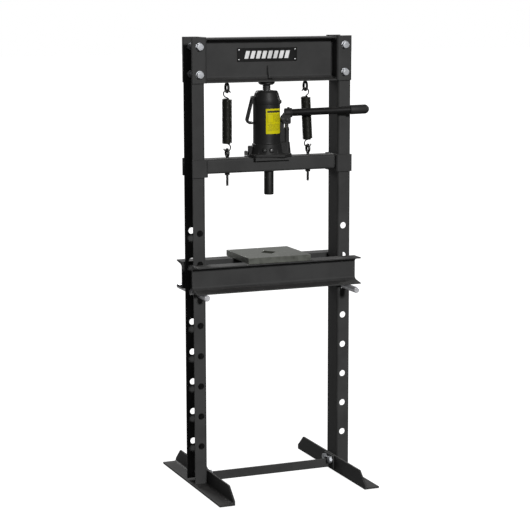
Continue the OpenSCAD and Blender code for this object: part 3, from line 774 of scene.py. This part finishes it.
lathe(bm, [(12.4, 189.5), (17.2, 189.5), (PISTON_R, 188.7), (PISTON_R, 44), (COLLAR_R, 44), (COLLAR_R, 39.6),
           (12.4, 39.6)], JK, 64, closed=True)
piece("lift_piston", bm, M_CHROME, "piston", ("jack_piston",))
bm = bmesh.new()
threaded(bm, 11.9, 4.0, 118, 208, JK, 48, depth=1.1, rows=8, tip=1.5)
saddle = fillet([(0, 207), (18.2, 207), (22.6, 210.2), (23.9, 211.8), (23.9, 216.2), (20, 216.75),
                 (0, 216.75)], [0, 1.2, 1.2, 0.5, 0.6, 0.5, 0], 3, False)
lathe(bm, saddle, JK, 72)
piece("extension_screw_turned", bm, M_SCREW, "screw", ("extension_screw",))

# filler plug on the cap's right side
bm = bmesh.new()
plug = boss_frame(6, 34, 157.5)
lathe(bm, fillet([(0, 0), (4.5, 0), (4.5, 6.2), (5.9, 6.6), (5.9, 8.2), (4.6, 9.8), (0, 10.4)],
                 [0, 0, 0.3, 0.4, 0.6, 1.4, 0], 3, False), plug, 32)
piece("oil_plug", bm, M_RUBBER, "press_beam", ("filler_plug",))

# pump: cylinder with a gland nut, plunger
PUMP = JK @ Matrix.Translation((PUMP_X, 0, 0))
pump_bore = PLUNGER_R + 0.06
bm = bmesh.new()
barrel = [(pump_bore, 41), (7.9, 41), (7.3, 43.5), (7.3, 73), (pump_bore, 73)]
lathe(bm, fillet(barrel, [0, 0.4, 0.8, 0, 0], 3), PUMP, 40, closed=True)
hexagon(bm, 14, 73, 81.5, PUMP, True, True, pump_bore, 0.2)
lathe(bm, fillet([(pump_bore, 81.4), (6.9, 81.4), (6.7, 84), (pump_bore, 84)], [0, 0.2, 0.4, 0.2], 2),
      PUMP, 36, closed=True)
piece("pump_barrel", bm, M_JACK, "press_beam", ("pump_cylinder",))
bm = bmesh.new()
plunger = [(0, 46), (PLUNGER_R, 46), (PLUNGER_R, 99), (PLUNGER_R - 0.3, 109.5), (0, 109.5)]
lathe(bm, fillet(plunger, [0, 0.4, 2, 1.4, 0], 3, False), PUMP, 40)
piece("pump_rod", bm, M_CHROME, "plunger", ("pump_plunger",))


def cross_pin(bm, x, z, r, half, head):
    """Pin across the fork with a flat head on the near side and a split ring on the far side."""
    m = JK @ Matrix.Translation((x, 0, z)) @ ACROSS
    lathe(bm, fillet([(0, half), (head, half), (head, half - 1.6), (r, half - 1.7), (r, -half + 0.4),
                      (r - 0.4, -half), (0, -half)], [0, 0.5, 0.2, 0, 0.1, 0.1, 0], 2, False), m, 28)
    ring = [(r * 0.9, -half + 1.0), (r + 1.6, -half + 1.0), (r + 1.6, -half + 1.9), (r * 0.9, -half + 1.9)]
    lathe(bm, fillet(ring, 0.2, 2), m, 28, closed=True)


bm = bmesh.new()
cross_pin(bm, PUMP_X, PLUNGER_PIN_Z, 2.5, 14, 4.4)
piece("plunger_cross_pin", bm, M_JACK, "plunger", ("plunger_pin",))
bm = bmesh.new()
cross_pin(bm, PIVOT_X, PIVOT_Z, 3.0, 14, 5.0)
piece("fork_pivot", bm, M_JACK, "press_beam", ("lever_pivot_pin",))

# release valve: knurled head on a plain stem
bm = bmesh.new()
VALVE = JK @ Matrix.Translation((-65, 0, 10.5)) @ Matrix.Rotation(math.pi / 2, 4, "Y")
teeth = 36
knurl = []
for i in range(teeth * 2):
    r = 7.0 if i % 2 else 6.5
    knurl.append((r * math.cos(math.pi * i / teeth), r * math.sin(math.pi * i / teeth)))
prism(bm, knurl, 0.6, 7.2, VALVE)
lathe(bm, fillet([(0, 10.4), (5.4, 10.4), (5.4, 7.2), (6.4, 7.1), (6.4, 0.5), (5.4, 0), (0, 0)],
                 [0, 0.2, 0.2, 0.2, 0.3, 0.3, 0], 2, False), VALVE, 36)
lathe(bm, [(0, 9.8), (4.95, 9.8), (4.95, 27), (0, 27)], VALVE, 32)
piece("release_knob", bm, M_BLACKENED, "valve", ("release_valve",), sharp=24)

# lever: cast fork and socket
HANDLE_AXIS = Vector(joints["handle_pull"]["axis"])
hub_world = JK @ Vector((62, 0, 125.6))
HD = place(hub_world, HANDLE_AXIS, (0, 0, 1))
bm = bmesh.new()
fork = fillet([(40.7, 110), (40.7, 104), (49, 94), (67, 94), (69.5, 97), (69.5, 122), (60, 127.5),
               (53, 127.5), (44, 117)], 3.0, 4)
for y0 in (8.3, -11.7):
    prism(bm, fork, y0, y0 + 3.4, JK @ ACROSS @ Matrix.Scale(-1, 4, (0, 0, 1)))
casting("lever_fork", bm, M_CAST, "lever", (), voxel=0.6, passes=3)
bm = bmesh.new()
lathe(bm, fillet([(10.85, -10), (13, -10), (13.4, -7), (13.1, 6), (13.8, 9), (13.4, 12), (10.85, 12)],
                 [0.4, 1, 1.5, 1.5, 1, 0.8, 0.3], 3), HD, 56, closed=True)
set_screw = HD @ Matrix.Translation((12.6, 0, 2)) @ Matrix.Rotation(math.pi / 2, 4, "Y")
hexagon(bm, 7, -0.6, 3.6, set_screw, True, False, 0, 0.2)
piece("lever_socket", bm, M_CAST, "lever", ("pump_lever",))

# link post: stands on the base between the tank and the pump, and holds the lever's pivot
bm = bmesh.new()
box(bm, (POST_X, -6.4, 41.4), (50.3, 6.4, 106), JK)
box(bm, (46, -5.6, 41.4), (52.8, 5.6, 82), JK)
pivot = JK @ Matrix.Translation((PIVOT_X, 0, PIVOT_Z)) @ ACROSS
lathe(bm, [(0, -6.4), (5.1, -6.4), (5.1, 6.4), (0, 6.4)], pivot, 32)
casting("pump_link", bm, M_CAST, "press_beam", ("pump_bracket",), voxel=0.7, passes=3)

# handle: tube, and a rubber grip with a domed end and an eyelet in its front
TUBE_R, GRIP_R, GRIP_Z, DOME_Z = 10.5, 13.5, 183, 225.2
bm = bmesh.new()
tube = [(8.6, -8), (TUBE_R, -8), (TUBE_R, 232), (8.6, 232)]
lathe(bm, fillet(tube, [0.3, 0.6, 0.6, 0.3], 3), HD, 48, closed=True)
piece("handle_bar", bm, M_HANDLE, "handle", ("handle_tube",))
dome = [math.radians(9 * i) for i in range(1, 10)]
grip = [(TUBE_R + 0.1, GRIP_Z), (12.6, GRIP_Z), (GRIP_R, GRIP_Z + 1.4), (GRIP_R, DOME_Z)]
grip += [(GRIP_R * math.cos(a), DOME_Z + GRIP_R * math.sin(a)) for a in dome]
grip += [(0, DOME_Z + GRIP_R), (0, 232.7), (TUBE_R + 0.1, 232.7)]
bm = bmesh.new()
lathe(bm, fillet(grip, [0.2, 0.5, 0.5] + [0] * 13, 2), HD, 56, closed=True)
eyelet = HD @ Matrix.Translation((0, 12.6, 227)) @ Matrix.Rotation(-math.pi / 2, 4, "X")
lathe(bm, fillet([(2.8, -1), (4.4, -1), (4.4, 0.9), (2.8, 0.9)], 0.7, 3), eyelet, 28, closed=True)
piece("handle_rubber", bm, M_RUBBER, "handle", ("handle_grip",))

# carry handle: bent bar, its ends turned into the lug
bx, bz = -41.3, 171
HALF_BAIL = 16.5
bail = []
for s in (-1, 1):
    y = s * HALF_BAIL
    leg = [(bx, s * 6, bz), (bx, y, bz), (-57.5, y, 106), (-53.5, y, 98.2), (-43.4, y, 98)]
    bail = leg if s < 0 else bail + list(reversed(leg))
curve = [Vector(p) for p in fillet([tuple(p) for p in bail], [0, 4, 6, 4, 4, 4, 4, 6, 4, 0], 6, False)]
bm = bmesh.new()
sweep(bm, curve, 3.3, JK, 14)
piece("carry_bail", bm, M_JACK, "bail", ("carry_handle",))
bm = bmesh.new()
box(bm, (bx + 3.4, -11.5, bz - 4), (-28, 11.5, bz + 4), JK)
hinge = JK @ Matrix.Translation((bx, 0, bz)) @ ACROSS
lathe(bm, [(0, -11.5), (4.6, -11.5), (4.6, 11.5), (0, 11.5)], hinge, 28)
casting("bail_lug", bm, M_CAST, "press_beam", ("carry_handle_lug",), voxel=0.7, passes=3)

# label film with UVs for its print
bm = bmesh.new()
uv_layer = bm.loops.layers.uv.new("UVMap")
r_label, a0, a1, z0, z1 = 39.8, math.radians(-100), math.radians(-22), 68.0, 140.0
cols, rows = 32, 2
grid = [[bm.verts.new(JK @ Vector((r_label * math.cos(a0 + (a1 - a0) * i / cols),
                                   r_label * math.sin(a0 + (a1 - a0) * i / cols), z0 + (z1 - z0) * j / rows)))
         for i in range(cols + 1)] for j in range(rows + 1)]
for j in range(rows):
    for i in range(cols):
        f = bm.faces.new((grid[j][i], grid[j][i + 1], grid[j + 1][i + 1], grid[j + 1][i]))
        for loop, (u, v) in zip(f.loops, ((i, j), (i + 1, j), (i + 1, j + 1), (i, j + 1))):
            loop[uv_layer].uv = (u / cols, v / rows)
label = piece("label_film", bm, M_LABEL, "press_beam", ("jack_label",))
solid = label.modifiers.new("thick", "SOLIDIFY")
solid.thickness, solid.offset = 0.12 * MM, -1

# ---------------------------------------------------------------- ram
bm = bmesh.new()
ram_lo, ram_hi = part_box("press_ram")
length = (ram_hi.z - ram_lo.z) / MM
m = place((mid(ram_lo, ram_hi).x, 0, ram_lo.z), (0, 0, 1))
RAM_R = 14
lathe(bm, fillet([(0, 0), (RAM_R - 1.8, 0), (RAM_R, 1.8), (RAM_R, length - 3), (RAM_R, length), (0, length)],
                 [0, 0.3, 0.5, 0, 0, 0], 3, False), m, 56)
piece("ram_bar", bm, M_RAM, "press_beam", ("press_ram",))

# ---------------------------------------------------------------- weld beads
weld_rng = random.Random(5)


def bead(bm, a, b, r=2.2, m=None):
    """Ripply bead from a to b, in metres."""
    a, b = Vector(a), Vector(b)
    length = (b - a).length / MM
    count = max(8, int(length / 0.8))
    radii, path = [], []
    phase = weld_rng.uniform(0, TAU)
    for i in range(count + 1):
        s = length * i / count
        ease = min(1, (s + 0.6) / 2.5, (length - s + 0.6) / 2.5)
        radii.append(r * MM * (0.92 + 0.10 * math.sin(TAU * s / 3.1 + phase)) * math.sqrt(max(0.05, ease)))
        path.append(a + (b - a) * i / count)
    sweep(bm, path, radii, Matrix.Identity(4), 8)


def bead_ring(bm, centre, radius, r=2.0):
    """Ripply bead round a vertical bar; centre and radius in metres."""
    steps = max(24, int(TAU * radius / MM / 0.9))
    path = [Vector(centre) + radius * Vector((math.cos(TAU * i / steps), math.sin(TAU * i / steps), 0))
            for i in range(steps)]
    radii = [r * MM * (0.93 + 0.09 * math.sin(i * 1.7)) for i in range(steps)]
    sweep(bm, path, radii, Matrix.Identity(4), 8, closed=True)


head_lo, head_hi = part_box("head_beam")
bm = bmesh.new()
for sx in (-1, 1):
    x = sx * (head_hi.x - 0.6 * MM)
    for sy in (-1, 1):
        bead(bm, (x, sy * 3.2 * MM, head_lo.z + 0.014), (x, sy * 3.2 * MM, head_hi.z - 0.014))
        for z, dz in ((head_lo.z, 8.4), (head_hi.z, -8.4)):
            bead(bm, (x, sy * 0.010, z + dz * MM), (x, sy * 0.034, z + (dz * 0.76) * MM))
for sy in (-1, 1):
    for sx in (-1, 1):
        x, y = sx * 3.4 * MM, sy * 2.9 * MM
        bead(bm, (x, sy * 0.010, head_lo.z + 9.7 * MM), (x, sy * 0.029, head_lo.z + 7.6 * MM), 1.5)
        bead(bm, (x, y, head_lo.z + 19 * MM), (x, y, head_lo.z + 43 * MM), 1.5)
for lo, hi in hangers:
    bead_ring(bm, (mid(lo, hi).x, 0, head_lo.z - 0.4 * MM), 4.6 * MM, 1.6)
piece("head_welds", bm, M_WELD, "frame", sharp=60)

beam_lo, beam_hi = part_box("moving_beam")
bm = bmesh.new()
for sx in (-1, 1):
    x = sx * (beam_hi.x - 0.5 * MM)
    for sy in (-1, 1):
        y = sy * (beam_hi.y - 0.4 * MM)
        bead(bm, (x, y, beam_lo.z + 6 * MM), (x, y, beam_hi.z - 6 * MM))
    for z in (beam_lo.z + 0.4 * MM, beam_hi.z - 0.4 * MM):
        bead(bm, (x, -beam_hi.y + 6 * MM, z), (x, beam_hi.y - 6 * MM, z))
ledge_lo, ledge_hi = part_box("jack_ledges")
for sy in (-1, 1):
    bead(bm, (ledge_lo.x + 2 * MM, sy * (beam_hi.y + 0.4 * MM), ledge_lo.z - 0.3 * MM),
         (ledge_hi.x - 2 * MM, sy * (beam_hi.y + 0.4 * MM), ledge_lo.z - 0.3 * MM), 2.4)
    for x in (ledge_lo.x, ledge_hi.x):
        y = sy * (beam_hi.y + 0.4 * MM)
        bead(bm, (x, y, ledge_lo.z + 1 * MM), (x, y, ledge_hi.z - 1.5 * MM), 1.8)
bead_ring(bm, (mid(ram_lo, ram_hi).x, 0, beam_lo.z - 0.3 * MM), 14.6 * MM, 2.2)
piece("beam_welds", bm, M_WELD, "press_beam", sharp=60)

bm = bmesh.new()
for lo, hi in islands("bed_spacers"):
    for x in (lo.x, hi.x):
        for y in (lo.y, hi.y):
            s = 1 if y < 0 else -1
            bead(bm, (x, y + s * 0.4 * MM, lo.z + 2 * MM), (x, y + s * 0.4 * MM, hi.z - 2 * MM))
piece("bed_welds", bm, M_WELD, "bed", sharp=60)

brace_lo, brace_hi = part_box("foot_brace")
bm = bmesh.new()
for sx in (-1, 1):
    x = sx * (brace_hi.x - 5.4 * MM)
    for sy in (-1, 1):
        bead(bm, (x, sy * 3.4 * MM, brace_lo.z + 1 * MM), (x, sy * 3.4 * MM, brace_lo.z + 25 * MM), 2.0)
    bead(bm, (x, -3 * MM, brace_lo.z + 26.3 * MM), (x, 3 * MM, brace_lo.z + 26.3 * MM), 1.8)
piece("brace_welds", bm, M_WELD, "frame", sharp=60)

# ---------------------------------------------------------------- stage, light, camera
bm = bmesh.new()
size = 30.0
corners = [(-size, -size), (size, -size), (size, size), (-size, size)]
bm.faces.new([bm.verts.new((x, y, -0.0004)) for x, y in corners])
mesh = bpy.data.meshes.new("floor")
bm.to_mesh(mesh)
bm.free()
floor = bpy.data.objects.new("floor", mesh)
scene.collection.objects.link(floor)
s = Shader("floor_pale")
tone = s.mix(s.ramp(s.noise(1.3, 3.0, 0.5), 0.3, 0.7), (0.24, 0.24, 0.24, 1), (0.27, 0.27, 0.27, 1))
s.set(Base_Color=tone, Roughness=0.9)
s.set(Specular_IOR_Level=0.0)
s.set(Emission_Color=(1, 1, 1, 1))
s.set(Emission_Strength=s.math("MULTIPLY", s.add("LightPath").outputs["Is Camera Ray"], 0.93))
mesh.materials.append(s.mat)
floor.visible_glossy = False

world = bpy.data.worlds.new("studio")
world.use_nodes = True
scene.world = world
tree = world.node_tree
back = tree.nodes["Background"]
path_node = tree.nodes.new("ShaderNodeLightPath")
where = tree.nodes.new("ShaderNodeTexCoord")
parts = tree.nodes.new("ShaderNodeSeparateXYZ")
tree.links.new(where.outputs["Generated"], parts.inputs[0])


def sky_ramp(socket, low, high, level):
    node = tree.nodes.new("ShaderNodeMapRange")
    node.interpolation_type = "SMOOTHSTEP"
    for i, v in zip((1, 2, 3, 4), (low, high, 0.0, level)):
        node.inputs[i].default_value = v
    tree.links.new(socket, node.inputs[0])
    return node.outputs[0]


def sky_math(op, a, b):
    node = tree.nodes.new("ShaderNodeMath")
    node.operation = op
    for i, v in enumerate((a, b)):
        if isinstance(v, (int, float)):
            node.inputs[i].default_value = v
        else:
            tree.links.new(v, node.inputs[i])
    return node.outputs[0]


overhead = sky_ramp(parts.outputs["Z"], 0.30, 0.95, 0.32)
behind = sky_ramp(parts.outputs["Y"], 0.25, 0.9, 0.30)
room = sky_math("ADD", sky_math("ADD", overhead, behind), 0.03)
mix = tree.nodes.new("ShaderNodeMix")
mix.data_type = "FLOAT"
mix.inputs[3].default_value = 1.0
tree.links.new(room, mix.inputs[2])
tree.links.new(path_node.outputs["Is Camera Ray"], mix.inputs[0])
tree.links.new(mix.outputs[0], back.inputs["Strength"])
back.inputs["Color"].default_value = (1, 1, 1, 1)


def sun(name, azimuth, elevation, strength, angle):
    """Sun that shines from that azimuth (0 is the front, 90 the right) and height."""
    light = bpy.data.lights.new(name, "SUN")
    light.energy, light.angle = strength, math.radians(angle)
    ob = bpy.data.objects.new(name, light)
    a, e = math.radians(azimuth), math.radians(elevation)
    src = Vector((math.sin(a) * math.cos(e), -math.cos(a) * math.cos(e), math.sin(e)))
    ob.rotation_mode = "QUATERNION"
    ob.rotation_quaternion = src.to_track_quat("Z", "Y")
    scene.collection.objects.link(ob)
    return ob


sun("key", 1.5, 18, 2.9, 6)
sun("back_fill", 185, 25, 2.0, 20)
sun("right_fill", 118, 22, 1.8, 20)

FOCAL_PX, FRAME_PX, SENSOR = 1724.19, 530, 36.0
yaw, pitch, roll = math.radians(22.28), math.radians(9.23), math.radians(-0.11)
forward = Vector((math.sin(yaw) * math.cos(pitch), math.cos(yaw) * math.cos(pitch), -math.sin(pitch)))
right = Vector((math.cos(yaw), -math.sin(yaw), 0))
up = right.cross(forward)
right, up = right * math.cos(roll) + up * math.sin(roll), up * math.cos(roll) - right * math.sin(roll)
cam_data = bpy.data.cameras.new("camera")
cam_data.sensor_width, cam_data.lens = SENSOR, FOCAL_PX * SENSOR / FRAME_PX
cam_data.clip_end = 100
cam = bpy.data.objects.new("camera", cam_data)
m = Matrix((right, up, -forward)).transposed().to_4x4()
m.translation = Vector((-1.89931, -4.61222, 1.44797))
cam.matrix_world = m
scene.collection.objects.link(cam)
scene.camera = cam
scene.view_settings.view_transform = "Standard"
scene.view_settings.look = "None"
